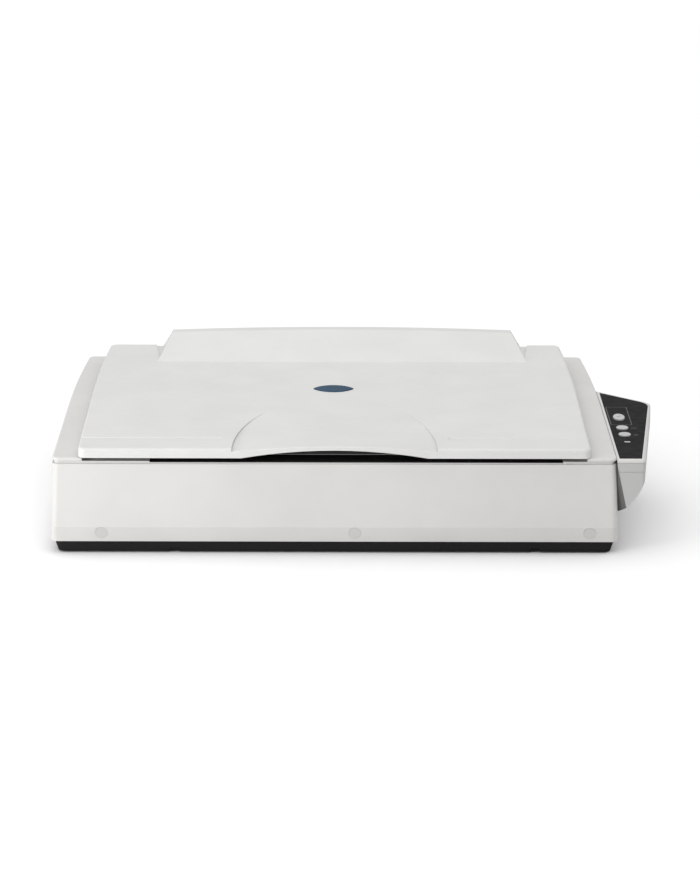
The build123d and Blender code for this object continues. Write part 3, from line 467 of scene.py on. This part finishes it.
def deck_rulers():
    """Scales printed on the deck along two edges of the glass, for placing an original."""
    face_above_seal = 1.3 * MM                     # the printed face, over the seal's underside
    # the front light seal is a black strip in the gap under the lid's front; its black is painted shade
    # for that shadowed gap
    printed_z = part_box("front_light_seal")[0][2] + face_above_seal
    left, back = DECK_X - 219 * MM, 127.5 * MM     # the glass's corner, where both scales begin
    ticks_x, ticks_y = 43, 30
    first, pitch = 5, 10                           # in millimetres along each scale
    margin = 2 * MM                                # between the glass and the ticks
    half_width = 0.3 * MM
    marks = []
    for tick in range(ticks_x):
        along = left + (first + pitch * tick) * MM
        half_length = tick_length(tick) / 2
        marks.append(rectangle(along, back + margin + half_length, half_width, half_length))
    for tick in range(ticks_y):
        along = back - (first + pitch * tick) * MM
        half_length = tick_length(tick) / 2
        marks.append(rectangle(left - margin - half_length, along, half_length, half_width))
    # an arrowhead that points at that corner
    arrow_x, arrow_y = left - 6 * MM, back + 6 * MM
    marks.append([(arrow_x + 3.5 * MM, arrow_y - 3.5 * MM),
                  (arrow_x + 1.5 * MM, arrow_y + 2.5 * MM),
                  (arrow_x - 2.5 * MM, arrow_y - 1.5 * MM)])
    plates("deck_rulers", marks, printed_z - 0.1 * MM, printed_z + 0.04 * MM, "scanner_body", "print")


def beside(button):
    """The place of a sign to the right of a button."""
    gap = 4.5 * MM
    low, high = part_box(button)
    return high[0] + gap, (low[1] + high[1]) / 2


def overlay_marks():
    """Small generic signs printed beside the buttons: two sheets for copy, three lines for menu."""
    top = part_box("control_overlay")[1][2]
    marks = []
    half_stroke = 0.2 * MM
    sheet_x, sheet_y = 1.9 * MM, 2.4 * MM
    x, y = beside("copy_button")
    for shift in (-1.1 * MM, 1.1 * MM):
        for side in (-1, 1):
            marks.append(rectangle(x + shift, y + shift + side * (sheet_y - half_stroke),
                                   sheet_x, half_stroke))
            marks.append(rectangle(x + shift + side * (sheet_x - half_stroke), y + shift,
                                   half_stroke, sheet_y))
    line_x, line_y, line_pitch = 2.4 * MM, 0.3 * MM, 1.6 * MM
    x, y = beside("menu_button")
    for row in (-1, 0, 1):
        marks.append(rectangle(x, y + row * line_pitch, line_x, line_y))
    plates("overlay_marks", marks, top - 0.1 * MM, top + 0.03 * MM, "scanner_body", "print")


def start_mark():
    """A slanted sign on the start key."""
    half_length, half_width, slant = 2.6 * MM, 0.5 * MM, 35
    low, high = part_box("start_button")
    x, y = (low[0] + high[0]) / 2, (low[1] + high[1]) / 2
    mark = rectangle(x, y, half_length, half_width, turn=slant)
    plates("start_mark", [mark], high[2] - 0.2 * MM, high[2] + 0.03 * MM, "start_key", "print")


foam_mat()
deck_rulers()
overlay_marks()
start_mark()


# ---------------------------------------------------------------- studio
# The sky's strength low down and overhead, and the upward parts of the directions it changes between.
SKY_LOW, SKY_HIGH = 0.15, 1.5
SKY_FROM, SKY_TO = 0.05, 0.75

# The one lamp: low, ahead of the case and to its left.
FRONT_PLACE = (-1.2, -1.1, 0.28)
FRONT_TARGET = (-0.15, -0.22, 0.06)
FRONT_SIZE = (0.6, 0.3)
FRONT_POWER = 12.7

FLOOR_HALF = 12.0

# The camera: lens and sensor in millimetres, place in metres, angles in degrees.
LENS, SENSOR_WIDTH = 131.2, 36.0
CAMERA_PLACE = (DECK_X + 0.47 * MM, -3.4327, 1.0166)
PITCH, YAW, ROLL = 15.57, 0.273, 0.19


def area_light(name, place, target, size, power):
    """A soft rectangular light aimed at a point."""
    data = bpy.data.lights.new(name, "AREA")
    data.shape = "RECTANGLE"
    data.size, data.size_y = size
    data.energy = power
    lamp = bpy.data.objects.new(name, data)
    bpy.context.scene.collection.objects.link(lamp)
    lamp.location = place
    lamp.rotation_euler = (Vector(target) - Vector(place)).to_track_quat("-Z", "Y").to_euler()


def sky():
    """Even white surroundings, brighter overhead than near the horizon."""
    world = bpy.data.worlds.new("studio")
    world.use_nodes = True
    tree = world.node_tree
    direction = tree.nodes.new("ShaderNodeTexCoord").outputs["Generated"]
    split = tree.nodes.new("ShaderNodeSeparateXYZ")
    ramp = tree.nodes.new("ShaderNodeMapRange")
    ramp.inputs["From Min"].default_value = SKY_FROM
    ramp.inputs["From Max"].default_value = SKY_TO
    ramp.inputs["To Min"].default_value = SKY_LOW
    ramp.inputs["To Max"].default_value = SKY_HIGH
    background = tree.nodes["Background"]
    background.inputs["Color"].default_value = (1, 1, 1, 1)
    tree.links.new(direction, split.inputs["Vector"])
    tree.links.new(split.outputs["Z"], ramp.inputs["Value"])
    tree.links.new(ramp.outputs["Result"], background.inputs["Strength"])
    bpy.context.scene.world = world


def studio():
    """A pale matt floor, the sky and the lamp."""
    half = FLOOR_HALF
    corners = [(-half, -half, 0), (half, -half, 0), (half, half, 0), (-half, half, 0)]
    mesh = bpy.data.meshes.new("floor")
    mesh.from_pydata(corners, [], [(0, 1, 2, 3)])
    floor = bpy.data.objects.new("floor", mesh)
    bpy.context.scene.collection.objects.link(floor)
    paint = Surface("floor_paint")
    paint.tint(paint.noise(0.9), (0.82, 0.82, 0.82, 1), (0.84, 0.84, 0.84, 1))
    paint.set(Roughness=0.9)
    mesh.materials.append(paint.material)
    sky()
    area_light("front_left", FRONT_PLACE, FRONT_TARGET, FRONT_SIZE, FRONT_POWER)
    bpy.context.scene.view_settings.view_transform = "Standard"


def camera():
    """Long lens from the front, a little above, as in a catalogue picture."""
    data = bpy.data.cameras.new("camera")
    data.lens = LENS
    data.sensor_width = SENSOR_WIDTH
    data.clip_end = 50
    holder = bpy.data.objects.new("camera", data)
    bpy.context.scene.collection.objects.link(holder)
    turned = Matrix.Rotation(-math.radians(YAW), 4, "Z")
    lowered = Matrix.Rotation(math.pi / 2 - math.radians(PITCH), 4, "X")
    rolled = Matrix.Rotation(math.radians(ROLL), 4, "Z")
    holder.matrix_world = Matrix.Translation(CAMERA_PLACE) @ turned @ lowered @ rolled
    bpy.context.scene.camera = holder


studio()
camera()
